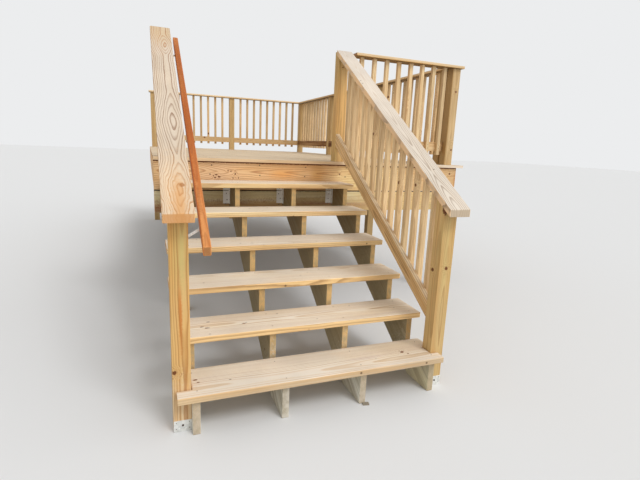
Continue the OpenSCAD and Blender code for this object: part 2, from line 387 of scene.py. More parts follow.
class Effects:
    """The shader effects that the finishes share, each built once."""

    def __init__(self) -> None:
        """Builds every group."""
        self.rings = self._rings()
        self.figure = self._figure()
        self.knots = self._knots()
        self.spot = self._spot()
        self.weather = self._weather()
        self.zinc = self._zinc()

    @staticmethod
    def _band(group: Group, phase: Socket) -> Socket:
        """Draws the dark late wood of each year ring.

        Args:
            group: The group that is being built, which takes Seed and Fine.
            phase: Years from the heart, as a number that grows outwards.

        Returns:
            How much late wood shows, from 0 to 1.
        """
        part = group.math("FRACT", phase)
        year = group.math("FLOOR", phase)
        chance = group.add("ShaderNodeTexWhiteNoise", noise_dimensions="2D")
        group.put(chance.inputs["Vector"], group.join(year, group.take("Seed"), 0.0))
        rise = group.step(part, group.take("Fine"), 0.86)
        fall = group.step(part, 0.9, 1.0, 1.0, 0.0)
        strength = group.line(chance.outputs["Value"], 0.6, 0.4)
        return group.times(group.times(rise, fall), strength)

    @staticmethod
    def _apart(group: Group, place: Socket, spread: Point) -> Socket:
        """Moves each timber, by its Seed from 0 to 1, to its own part of a pattern."""
        return group.vector("ADD", place, group.scaled(spread, group.take("Seed")))

    def _rings(self) -> Group:
        """Builds year rings round a wandering heart, with fibres and streaks.

        Returns:
            The group.
        """
        group = Group(
            "year_rings", Grain=(0.0, 0.0, 0.0), Seed=0.0, Ring=0.007, Wander=0.004,
            Drift=0.012, Swirl=0.0, Fine=0.35,
        )
        here = self._apart(group, group.take("Grain"), (37.0, 0.0, 91.0))
        drift = group.scaled(group.sway(here, (1.1, 0.4, 0.4)), group.take("Drift"))
        wander = group.scaled(group.sway(here, (4.0, 14.0, 14.0), 2.0), group.take("Wander"))
        bent = group.vector("ADD", wander, group.vector("ADD", drift, group.take("Grain")))
        far = group.vector("LENGTH", group.vector("MULTIPLY", bent, (0.0, 1.0, 1.0)))
        phase = group.math("ADD", group.math("DIVIDE", far, group.take("Ring")), group.take("Swirl"))
        group.give("Late", self._band(group, phase))
        group.give("Fibre", group.noise(here, (7.0, 420.0, 420.0), 2.0))
        group.give("Streak", group.noise(here, (1.6, 34.0, 34.0), 3.0))
        return group

    def _figure(self) -> Group:
        """Builds the pointed ovals of a board sawn flat through three humps of its rings.

        Returns:
            The group.
        """
        group = Group(
            "flat_sawn_figure", Grain=(0.0, 0.0, 0.0), Seed=0.0, Swirl=0.0, Fine=0.6, Middle=0.02,
            Pitch=0.016, Wild=0.0, Most=9.0, Places=(0.2, 0.8, 1.8), Lengths=(0.07, 0.11, 0.07),
        )
        grain = group.take("Grain")
        wild = group.step(group.split(grain)[0], 0.25, 0.45, group.take("Wild"), 0.0)
        bent: Socket = grain
        for scale, reach, share in (
            ((4.0, 16.0, 16.0), (0.08, 0.02, 0.0), 1.0),
            ((22.0, 60.0, 60.0), (0.02, 0.004, 0.0), 1.0),
            ((11.0, 30.0, 30.0), (0.09, 0.022, 0.0), wild),
        ):
            push = group.vector("MULTIPLY", group.sway(grain, scale), reach)
            bent = group.vector("ADD", bent, group.scaled(push, share))
        along, across, _ = group.split(bent)
        hump = group.take("Most")
        for where, length in zip(group.split(group.take("Places")), group.split(group.take("Lengths"))):
            gap = self._rounded(group, group.math("SUBTRACT", along, where), 0.03)
            hump = group.math("SMOOTH_MIN", hump, group.math("DIVIDE", gap, length), 0.8)
        off = self._rounded(group, group.math("SUBTRACT", across, group.take("Middle")), 0.01)
        off = group.math("SUBTRACT", off, 0.01)
        side = group.math("POWER", group.math("DIVIDE", off, group.take("Pitch")), 1.15)
        phase = group.math("ADD", group.math("ADD", side, hump), group.take("Swirl"))
        group.give("Late", self._band(group, phase))
        return group

    @staticmethod
    def _rounded(group: Group, away: Socket, radius: float) -> Socket:
        """Gives a distance to either side, with its point rounded off to a radius."""
        return group.math("SQRT", group.line(away, away, radius * radius))

    def _knots(self) -> Group:
        """Builds knots scattered through a board, with the grain flowing round them.

        Returns:
            The group.
        """
        group = Group("scattered_knots", Grain=(0.0, 0.0, 0.0), Seed=0.0, Size=0.05)
        size = group.take("Size")
        spread = group.vector("MULTIPLY", group.take("Grain"), (2.6, 3.6, 3.6))
        near = group.cells(self._apart(group, spread, (53.0, 29.0, 1.0))).outputs["Distance"]
        group.give("Mask", group.step(near, group.times(size, 0.55), size, 1.0, 0.0))
        reach = group.step(near, 0.0, group.times(size, 3.2), 1.0, 0.0)
        group.give("Swirl", group.times(reach, 3.0))
        return group

    @staticmethod
    def _spot() -> Group:
        """Builds one knot, mark or colour patch at a known place, painted light and shade among them.

        Returns:
            The group.
        """
        group = Group(
            "single_knot", Place=(0.0, 0.0, 0.0), Centre=(0.0, 0.0, 0.0), Size=0.01,
            Squeeze=(1.0, 1.0, 1.0), Turn=2.5, Core=0.6,
        )
        away = group.vector("SUBTRACT", group.take("Place"), group.take("Centre"))
        ragged = group.noise(group.take("Place"), (90.0, 90.0, 90.0), 1.0)
        near = group.vector("LENGTH", group.vector("MULTIPLY", away, group.take("Squeeze")))
        near = group.times(near, group.math("ADD", ragged, 0.5))
        size = group.take("Size")
        group.give("Mask", group.step(near, group.times(size, group.take("Core")), size, 1.0, 0.0))
        reach = group.step(near, 0.0, group.times(size, 3.5), 1.0, 0.0)
        group.give("Swirl", group.times(reach, group.take("Turn")))
        return group

    @staticmethod
    def _weather() -> Group:
        """Builds what sun, rain and feet do, with painted light and shade: tops paled by bleaching and
        by painted top light, undersides darkened by painted shade, blotches and flecks.

        Returns:
            The group.
        """
        group = Group(
            "weather", Place=(0.0, 0.0, 0.0), Normal=(0.0, 0.0, 1.0), Base=(0.5, 0.5, 0.5, 1.0),
            Bleach=(0.7, 0.6, 0.5, 1.0), Share=0.5, Flecks=0.0, Under=0.66,
        )
        place = group.take("Place")
        tilt = group.split(group.take("Normal"))[2]
        cloud = group.noise(place, (2.4, 6.0, 6.0), 3.0)
        # Up-facing faces pale: partly sun bleaching, partly painted light on the tops.
        share = group.times(group.step(tilt, 0.45, 0.85), group.take("Share"))
        share = group.times(share, group.step(cloud, 0.25, 0.6, 0.7, 1.0))
        colour = group.mix(share, group.take("Base"), group.take("Bleach"))
        blotch = group.noise(place, (3.0, 3.0, 3.0), 4.0)
        # Down-facing faces darken: painted shade on the undersides.
        dull = group.step(tilt, -0.85, -0.4, group.take("Under"), 1.0)
        colour = group.scaled(colour, group.times(dull, group.step(blotch, 0.3, 0.7, 0.93, 1.05)))
        cells = group.cells(group.vector("MULTIPLY", place, (14.0, 26.0, 14.0)))
        dot = group.step(cells.outputs["Distance"], 0.05, 0.14, 1.0, 0.0)
        rare = group.math("GREATER_THAN", group.split(cells.outputs["Color"])[0], 0.8)
        dot = group.times(group.times(dot, rare), group.take("Flecks"))
        group.give("Colour", group.mix(dot, colour, paint((92, 66, 44))))
        return group

    @staticmethod
    def _zinc() -> Group:
        """Builds the spangle and dull streaks of hot-dipped steel.

        Returns:
            The group.
        """
        group = Group("zinc", Place=(0.0, 0.0, 0.0))
        place = group.take("Place")
        flake = group.split(group.cells(place, 70.0).outputs["Color"])[0]
        dull = group.noise(place, (18.0, 18.0, 18.0), 3.0)
        colour = group.mix(flake, paint((244, 245, 242)), paint((216, 218, 216)))
        stain = group.step(dull, 0.5, 0.75, 0.0, 0.45)
        group.give("Colour", group.mix(stain, colour, paint((168, 162, 148))))
        group.give("Rough", group.line(flake, 0.16, 0.38))
        group.give("Height", dull)
        return group


@dataclass(frozen=True)
class Spot:
    """A knot, mark or painted shade line at a known place of the site plan."""

    centre: Point
    size: float
    squeeze: Point = (1.0, 1.0, 1.0)
    turn: float = 2.5
    dark: float = 1.0
    core: ClassVar[float] = 0.6


@dataclass(frozen=True)
class Patch:
    """A soft patch of another colour at a known place of the site plan; some are the wood's own colour,
    some painted light and shade.
    """

    centre: Point
    size: float
    colour: Colour
    squeeze: Point = (1.0, 1.0, 1.0)
    turn: ClassVar[float] = 0.0
    core: ClassVar[float] = 0.1


@dataclass(frozen=True)
class Figure:
    """The humps of a flat-sawn board, measured from its lower or left end in metres."""

    middle: float
    pitch: float
    places: Point
    lengths: Point
    wild: float = 0.0
    most: float = 9.0


@dataclass(frozen=True)
class Timber:
    """A timber finish: its colours, its grain, its wear and its painted light and shade."""

    # How bright a middling board is, and how much brighter fibres and arrises are
    MIDDLING: ClassVar[float] = 0.97
    FIBRES: ClassVar[float] = 0.16
    ARRISES: ClassVar[float] = 0.08
    # How much of its own colour an end shows, and how much less late wood pales on top by bleaching and
    # painted top light
    END_SHARE: ClassVar[float] = 0.8
    LATE_SHARE: ClassVar[float] = 0.8
    # Between which values of its noise a streak grows
    STREAK: ClassVar[tuple[float, float]] = (0.35, 0.7)
    # How much smoother late wood and knots are, and how strongly light glances off
    LATE_SMOOTH: ClassVar[float] = 0.08
    KNOT_SMOOTH: ClassVar[float] = 0.12
    GLANCE: ClassVar[float] = 0.3
    # How late wood stands against the fibres, and how much and how high both stand
    LATE_RELIEF: ClassVar[float] = 0.5
    RELIEF: ClassVar[tuple[float, float]] = (0.35, 0.0007)

    name: str
    pale: Colour
    dark: Colour
    tone: Colour
    # The colour that tops pale to, and its share: sun bleaching and painted top light together
    bleach: Colour = (221, 203, 178)
    bleached: float = 0.5
    knot: Colour = (120, 72, 38)
    ring: float = 0.009
    drift: float = 0.05
    wander: float = 0.008
    contrast: float = 0.45
    streaks: float = 0.5
    knots: float = 0.05
    flecks: float = 0.0
    rough: float = 0.68
    vary: float = 0.06
    ends: Colour | None = (196, 148, 98)
    edges: Colour | None = None
    fine: float = 0.35
    # How bright undersides stay: painted shade
    under: float = 0.66
    spots: tuple[Spot, ...] = ()
    patches: tuple[Patch, ...] = ()
    edge_patches: tuple[Patch, ...] = ()
    dark_patches: tuple[Patch, ...] = ()
    figure: Figure | None = None

    def make(self, effects: Effects, plan: Plan) -> bpy.types.Material:
        """Builds the finish's material.

        Args:
            effects: The shared effects.
            plan: The site plan that spots are measured on.

        Returns:
            The material.
        """
        material, tree, shader = blank(self.name)
        grain, arris = tree.attribute("grain"), tree.attribute("arris", "Fac")
        seed, mood, _ = tree.split(tree.attribute("board"))
        end, edge, _ = tree.split(tree.attribute("side"))
        place = tree.add("ShaderNodeTexCoord").outputs["Object"]

        def marked(spot: Spot | Patch) -> bpy.types.Node:
            """Places a knot, mark or patch, whose Mask and Swirl are the node's results."""
            sizes = {"Size": spot.size, "Squeeze": spot.squeeze, "Turn": spot.turn, "Core": spot.core}
            return tree.place(effects.spot, Place=place, Centre=plan.at(*spot.centre), **sizes)

        def patched(colour: Colour, patches: Iterable[Patch]) -> object:
            """Lays soft patches over a colour.

            Args:
                colour: The colour under them.
                patches: The patches, from the lowest.

            Returns:
                The colour with its patches.
            """
            laid: object = paint(colour)
            for patch in patches:
                laid = tree.mix(marked(patch).outputs["Mask"], laid, paint(patch.colour))
            return laid

        knots = tree.place(effects.knots, Grain=grain, Seed=seed, Size=self.knots)
        mask, swirl = knots.outputs["Mask"], knots.outputs["Swirl"]
        # Each spot, a knot or a painted shade line, joins the mask of the knot colour
        for spot in self.spots:
            mark = marked(spot)
            mask = tree.math("MAXIMUM", mask, tree.times(mark.outputs["Mask"], spot.dark))
            swirl = tree.math("ADD", swirl, mark.outputs["Swirl"])
        rings = tree.place(
            effects.rings, Grain=grain, Seed=seed, Ring=self.ring, Wander=self.wander,
            Drift=self.drift, Swirl=swirl, Fine=self.fine,
        )
        late, fibre = rings.outputs["Late"], rings.outputs["Fibre"]
        if self.figure:
            shape = {name.title(): value for name, value in vars(self.figure).items()}
            late = tree.place(
                effects.figure, Grain=grain, Seed=seed, Swirl=swirl, Fine=self.fine, **shape
            ).outputs["Late"]

        pale = patched(self.pale, self.patches)
        if self.edges:
            pale = tree.mix(edge, pale, patched(self.edges, self.edge_patches))
        streak = tree.step(rings.outputs["Streak"], *self.STREAK, 0.0, self.streaks)
        colour = tree.mix(streak, pale, paint(self.tone))
        dark = patched(self.dark, self.dark_patches)
        colour = tree.mix(tree.times(late, self.contrast), colour, dark)
        if self.ends:
            colour = tree.mix(tree.times(end, self.END_SHARE), colour, paint(self.ends))
        light = tree.line(mood, 2 * self.vary, self.MIDDLING - self.vary)
        light = tree.line(arris, self.ARRISES, tree.line(fibre, self.FIBRES, light))
        knot = paint(self.knot)
        # Tops pale by bleaching and painted top light, undersides take painted shade
        worn = tree.place(
            effects.weather, Place=place, Normal=tree.add("ShaderNodeNewGeometry").outputs["Normal"],
            Base=tree.mix(mask, tree.scaled(colour, light), knot), Bleach=paint(self.bleach),
            Share=tree.times(tree.line(late, -self.LATE_SHARE, 1.0), self.bleached),
            Flecks=self.flecks, Under=self.under,
        )
        tree.put(shader.inputs["Base Color"], tree.mix(mask, worn.outputs["Colour"], knot))
        shader.inputs["Specular IOR Level"].default_value = self.GLANCE
        rough = tree.line(mask, -self.KNOT_SMOOTH, tree.line(late, -self.LATE_SMOOTH, self.rough))
        tree.put(shader.inputs["Roughness"], rough)
        height = tree.math("SUBTRACT", tree.line(late, self.LATE_RELIEF, fibre), mask)
        tree.put(shader.inputs["Normal"], tree.bump(height, *self.RELIEF))
        return material


@dataclass(frozen=True)
class Zinc:
    """Galvanised steel, bright where new and dull where it has stood."""

    # How much and how high the spangle stands
    RELIEF: ClassVar[tuple[float, float]] = (0.2, 0.0004)

    name: str
    metal: float = 0.1
    colour: Colour | None = None

    def make(self, effects: Effects, plan: Plan) -> bpy.types.Material:
        """Builds the finish's material.

        Args:
            effects: The shared effects.
            plan: The site plan, which this finish doesn't need.

        Returns:
            The material.
        """
        material, tree, shader = blank(self.name)
        coat = tree.place(effects.zinc, Place=tree.add("ShaderNodeTexCoord").outputs["Object"])
        colour = paint(self.colour) if self.colour else coat.outputs["Colour"]
        tree.put(shader.inputs["Base Color"], colour)
        tree.put(shader.inputs["Roughness"], coat.outputs["Rough"])
        shader.inputs["Metallic"].default_value = self.metal
        tree.put(shader.inputs["Normal"], tree.bump(coat.outputs["Height"], *self.RELIEF))
        return material


@dataclass(frozen=True)
class Finishes:
    """Every finish of the flight and the deck."""

    left_post: Timber = Timber(
        "olive_gold_post", (222, 184, 122), (172, 112, 54), (220, 166, 96), bleached=0.3,
        contrast=0.85, streaks=0.8, wander=0.006, knots=0.0, drift=0.03, ring=0.008,
        spots=(Spot((0.011, 0.0, 0.3285), 0.012, turn=3.0),),
        patches=(
            Patch((0.05, 0.0, 0.1), 0.3, (228, 204, 166)),
            Patch((0.045, 0.0, 0.62), 0.03, (206, 128, 62), (2.2, 1.0, 0.1)),
            Patch((0.02, 0.0, 0.95), 0.14, (206, 184, 118), (1.0, 1.0, 0.5)),
        ),
    )
    right_post: Timber = Timber(
        "gold_post", (216, 186, 130), (168, 122, 70), (206, 162, 102), bleached=0.3, streaks=0.7,
        knots=0.0, contrast=0.6,
        spots=(
            Spot((1.565, 0.0, 0.765), 0.013, turn=3.0),
            Spot((RIGHT_POST, 0.0633, 0.744), 0.014, turn=3.0),
            # A dark wedge where the post's top meets the cap: painted shade of the gap there
            Spot((1.518, 0.004, 1.118), 0.022, (1.0, 1.0, 0.7), 0.0),
            Spot((1.5546, POST_FRONT, 2.133), 0.007, turn=2.0),
        ),
        patches=(
            # The top post's left face darker and greener, its front face lighter: painted shade and
            # painted light on the two faces
            Patch((RIGHT_POST, 1.7, 1.75), 1.2, (206, 178, 112), (40.0, 1.0, 1.0)),
            Patch((1.56, POST_FRONT, 1.75), 0.5, (236, 190, 122), (1.0, 3.0, 1.0)),
            Patch((1.56, 0.0, 0.9), 0.45, (206, 180, 122), (1.0, 8.0, 1.0)),
        ),
    )
    guard_post: Timber = Timber(
        "guard_post", (198, 168, 118), (146, 106, 66), (180, 144, 92), bleached=0.3, knots=0.05,
        spots=(Spot((2.7774, POST_FRONT, 2.0265), 0.012), Spot((2.7917, POST_FRONT, 1.4668), 0.012)),
        patches=(
            # Front faces lighter, the side posts' inner faces darker: painted light and painted shade
            Patch((2.77, POST_FRONT, 1.8), 1.6, (212, 182, 136), (1.0, 40.0, 1.0)),
            Patch((SIDE_POST, 1.7, 1.8), 3.0, (180, 148, 98), (150.0, 1.0, 1.0)),
        ),
    )
    support: Timber = Timber(
        "support_timber", (196, 170, 124), (150, 114, 72), (176, 150, 100), bleached=0.2,
        contrast=0.4,
    )
    stringer: Timber = Timber(
        "stringer", (188, 174, 140), (129, 108, 74), (162, 148, 116), bleached=0.1, streaks=0.6,
        contrast=0.4, drift=0.03, ends=None, edges=(214, 178, 120), knots=0.03,
        knot=(110, 54, 32), spots=(Spot((1.509, 0.2435, 0.275), 0.013),),
        patches=(
            # Sides darker up the flight, in the shade under the treads, and paler near the ground:
            # painted shade and painted light bounced from the ground
            Patch((0.8, 1.4, 1.05), 1.3, (142, 120, 82), (0.2, 1.0, 1.2)),
            Patch((0.8, 0.0, 0.0), 0.48, (248, 246, 234), (0.1, 1.0, 1.2)),
            Patch((1.5, 0.0, 0.0), 0.4, (244, 234, 196), (3.0, 1.0, 1.0)),
        ),
        edge_patches=(
            Patch((0.8, -0.05, 0.0), 0.6, (196, 182, 164), (0.2, 1.0, 1.2)),
            Patch((0.57, -0.05, 0.0), 0.5, (214, 206, 192), (3.0, 1.0, 1.0)),
            Patch((1.5, -0.05, 0.0), 0.5, (190, 172, 142), (3.0, 1.0, 1.0)),
            Patch((1.5, 0.2435, 0.3), 0.13, (176, 138, 84)),
        ),
        dark_patches=(
            # Late wood paler near the ground too: painted light
            Patch((0.8, 0.0, 0.0), 0.48, (176, 164, 136), (0.1, 1.0, 1.2)),
            Patch((0.57, 0.0, 0.0), 0.5, (212, 204, 182), (3.0, 1.0, 1.0)),
        ),
    )
    tread: Timber = Timber(
        "tread", (238, 206, 152), (164, 122, 80), (214, 170, 116), (238, 231, 220), 0.8,
        contrast=0.8, streaks=0.6, knots=0.02, flecks=0.85, drift=0.07, ring=0.01,
        spots=tuple(
            Spot((x, y, FIRST_TOP + step * RISE), size, (wide, 1.0, 1.0), turn)
            for step, x, y, size, wide, turn in (
                (0, 1.347, 0.0572, 0.012, 0.8, 4.0), (0, 1.372, 0.029, 0.005, 0.6, 2.0),
                (0, 0.115, 0.084, 0.007, 0.5, 0.0), (0, 0.127, 0.055, 0.005, 0.5, 0.0),
                (1, 0.206, 0.315, 0.008, 0.5, 0.0), (1, 0.222, 0.4, 0.006, 0.5, 0.0),
                (1, 0.18, 0.337, 0.007, 0.5, 0.0), (1, 0.419, 0.327, 0.006, 0.4, 0.0),
            )
        ),
        patches=(
            Patch((1.09, 0.05, FIRST_TOP), 0.035, (196, 146, 100), (0.18, 1.0, 1.0)),
            Patch((0.7, FIRST_FRONT, 0.2), 1.2, (219, 193, 158), (0.8, 8.0, 1.0)),
            Patch((1.3, FIRST_FRONT, 0.2), 0.5, (209, 186, 155), (0.8, 8.0, 1.0)),
            Patch((0.75, FIRST_FRONT + 2 * RUN, 0.573), 1.0, (250, 216, 156), (0.7, 12.0, 3.0)),
            Patch((0.75, 1.2, FIRST_TOP + 4 * RISE), 1.4, (255, 232, 180), (0.6, 3.0, 20.0)),
            Patch((0.75, FIRST_FRONT + 5 * RUN, 1.12), 1.0, (226, 198, 148), (0.7, 12.0, 3.0)),
        ),
        dark_patches=(Patch((0.7, FIRST_FRONT, 0.2), 1.4, (204, 172, 130), (0.6, 8.0, 1.0)),),
    )
    left_cap: Timber = Timber(
        "bold_cap", (218, 202, 182), (134, 92, 62), (208, 186, 158), (220, 206, 190), 0.1,
        knot=(176, 116, 60), contrast=0.95, streaks=0.5, knots=0.0, wander=0.004, fine=0.42,
        ends=(220, 159, 98), edges=(226, 180, 124),
        spots=(Spot((0.0725, 0.0874, 1.2408), 0.014, (1.0, 0.8, 0.8), 0.0, 0.6),),
        patches=(
            Patch((0.045, 0.05, 1.21), 0.42, (228, 200, 164), (2.6, 1.0, 1.0)),
            Patch((0.055, -0.02, 1.17), 0.3, (222, 162, 92), (6.0, 1.0, 1.0)),
            Patch((0.045, 1.65, 2.2), 0.4, (216, 190, 152)),
        ),
        dark_patches=(
            Patch((0.055, 0.02, 1.2), 0.45, (196, 134, 74), (2.6, 1.0, 1.0)),
            Patch((0.035, 1.5, 2.1), 0.4, (184, 120, 66), (2.6, 1.0, 1.0)),
        ),
        figure=Figure(0.02, 0.0155, (0.195, 0.785, 1.8), (0.07, 0.105, 0.055), 1.0, 3.12),
    )
    right_cap: Timber = Timber(
        "pale_cap", (220, 207, 191), (136, 110, 86), (202, 183, 160), (226, 216, 203), 0.5,
        contrast=0.8, streaks=0.6, knots=0.0, flecks=0.9, ends=(186, 167, 142), fine=0.45,
        edges=(243, 204, 157),
        patches=(
            Patch((1.54, 0.05, 1.2), 0.6, (207, 196, 180)),
            Patch((1.54, 1.5, 2.17), 0.6, (210, 199, 188)),
        ),
        dark_patches=(Patch((1.56, 1.2, 2.0), 1.3, (192, 172, 150)),),
        figure=Figure(-0.012, 0.017, (0.05, 1.15, 1.9), (0.1, 0.26, 0.14)),
    )
    handrail: Timber = Timber(
        "orange_stain", (222, 156, 94), (142, 68, 22), (180, 94, 32), (212, 142, 80), 0.15,
        knot=(104, 50, 26), contrast=0.6, streaks=0.8, knots=0.02, rough=0.6, ring=0.006,
        ends=(158, 110, 66),
        spots=(Spot((0.165, 1.261, 1.92), 0.013, turn=2.0),),
        patches=(
            Patch((0.165, 0.8, 1.6), 0.95, (170, 84, 18)),
            Patch((0.165, 1.5, 2.1), 0.8, (166, 86, 16)),
            # The left face darker: painted shade
            Patch((0.146, 0.5, 1.4), 1.2, (178, 88, 14), (100.0, 1.0, 1.0)),
            Patch((0.165, 0.2735, 1.1206), 0.008, (250, 220, 190)),
        ),
    )
    rail: Timber = Timber(
        # Its top pales almost to white: sun bleaching, with painted light against the balusters' shade
        "golden_rail", (230, 196, 144), (144, 102, 58), (196, 154, 100), (250, 234, 204), 0.8,
        contrast=0.7, streaks=0.85, ring=0.012,
    )
    baluster: Timber = Timber(
        "baluster", (238, 211, 166), (160, 112, 64), (210, 168, 114), bleached=0.2, contrast=0.6,
        knots=0.055, vary=0.17, ring=0.006,
        spots=(
            Spot((1.554, 1.0171, 1.5587), 0.012), Spot((1.554, 0.5937, 1.223), 0.012),
            Spot((1.554, 0.3824, 1.2259), 0.012),
        ),
        patches=(
            Patch((1.4, 6.45, 1.7), 1.7, (208, 180, 136), (0.5, 1.0, 1.0)),
            # The side guard's inner faces dark brown: painted shade
            Patch((SIDE_POST, 4.0, 1.5), 7.0, (112, 66, 18), (130.0, 1.0, 1.0)),
        ),
        # Its late wood darker there as well: painted shade
        dark_patches=(Patch((SIDE_POST, 4.0, 1.5), 7.0, (90, 50, 14), (130.0, 1.0, 1.0)),),
    )
    guard_cap: Timber = Timber(
        "guard_cap", (230, 204, 164), (184, 142, 94), (216, 182, 134), (242, 232, 212), 0.85,
        # The caps' undersides take deep painted shade
        contrast=0.4, ends=(150, 104, 62), under=0.36,
        patches=(
            Patch((2.2, 1.7, 2.2433), 3.0, (232, 184, 116), (1.0, 1.0, 300.0)),
            # The side cap's inner edge dark brown: painted shade
            Patch((2.8, 4.2, 2.25), 2.5, (150, 106, 52), (10.0, 1.0, 1.0)),
        ),
    )
    rim: Timber = Timber(
        "rim_board", (226, 184, 130), (184, 118, 62), (214, 158, 96), bleached=0.3, streaks=0.75,
        contrast=0.55, ring=0.013, drift=0.08,
    )
    front_rim: Timber = Timber(
        "front_rim_board", (240, 203, 154), (172, 104, 58), (226, 178, 120), bleached=0.3,
        knot=(104, 50, 22), streaks=0.6, contrast=0.7, knots=0.0, fine=0.45,
        # A dark line under the deck boards' overhang, in the knot colour: painted shadow
        spots=(Spot((1.4, RIM_FRONT, 1.2905), 3.0, (0.2, 1.0, 230.0), 0.0),) + tuple(
            Spot((x, RIM_FRONT, z), 0.85 * size, (wide, 1.0, tall), 1.0, 0.85)
            for x, z, size, wide, tall in (
                (2.7747, 1.2281, 0.013, 1.0, 1.0), (0.425, 1.172, 0.007, 1.0, 1.0),
                (0.447, 1.181, 0.012, 0.8, 1.4), (0.47, 1.164, 0.01, 0.6, 1.0),
                (0.438, 1.157, 0.008, 0.7, 1.0), (0.604, 1.19, 0.011, 1.5, 0.7),
                (0.544, 1.214, 0.007, 0.7, 1.4), (0.567, 1.211, 0.006, 0.7, 1.2),
                (0.631, 1.157, 0.006, 1.4, 0.7), (0.585, 1.157, 0.007, 1.0, 1.0),
                (1.557, 1.2035, 0.009, 1.0, 0.8),
            )
        ),
        patches=tuple(
            Patch((x, RIM_FRONT, z), size, colour, (1.0, 1.0, tall))
            for x, z, size, colour, tall in (
                (0.45, 1.2, 0.3, (238, 202, 160), 1.5), (1.02, 1.2, 0.2, (238, 180, 114), 3.0),
                (1.345, 1.2, 0.1, (226, 176, 112), 0.6), (1.85, 1.2, 0.55, (250, 225, 163), 1.0),
                (2.84, 1.22, 0.16, (226, 196, 148), 1.0), (2.85, 1.17, 0.03, (190, 122, 60), 0.2),
            )
        ),
        dark_patches=(Patch((2.15, RIM_FRONT, 1.2), 0.9, (222, 176, 112)),),
        figure=Figure(0.035, 0.019, (0.1, 2.3, 2.3), (0.1, 0.3, 0.3)),
    )
    lower_board: Timber = Timber(
        "lower_board", (224, 212, 173), (160, 116, 68), (212, 190, 132), bleached=0.1, streaks=0.5,
        # The knot colour serves only the painted shade line below, as this board has no knots
        knot=(52, 34, 18), knots=0.0, contrast=0.3,
        # A dark line at the top edge, in the gap under the rim: painted shade
        spots=(Spot((1.4, 1.6545, 1.0505), 3.0, (0.2, 1.0, 500.0), 0.0),),
        patches=(
            Patch((0.9, RIM_FRONT, 0.9), 1.2, (128, 50, 18), (0.4, 1.0, 11.0)),
            # The board is olive in the shade behind the flight and golden to the right of it: the
            # golden patch is painted light
            Patch((2.3, RIM_FRONT, 0.95), 0.8, (238, 202, 144)),
        ),
    )
    deck: Timber = Timber(
        "deck_board", (226, 198, 160), (168, 130, 90), (206, 174, 132), (206, 190, 165), 0.8,
        contrast=0.5, knots=0.04, flecks=0.5, vary=0.06,
        patches=(Patch((2.8, 1.6, 1.31), 0.6, (240, 226, 208)),),
    )
    steel: Zinc = Zinc("zinc_coat")
    # New zinc's own pale coat, pushed to near white as painted light on hangers that stand in the shade
    # under the top tread
    hangers: Zinc = Zinc("new_zinc", 0.0, (252, 252, 250))
    screws: Zinc = Zinc("dark_screws", 0.2, (66, 48, 34))
    dull_screws: Zinc = Zinc("dull_screws", 0.2, (138, 116, 90))
    shim: Zinc = Zinc("dull_shim", 0.1, (156, 146, 130))


@dataclass(frozen=True)
class Head:
    """The size of a screw's, nail's or bolt's head."""

    radius: float
    proud: float
    sides: int = 8
    taper: float = 0.78


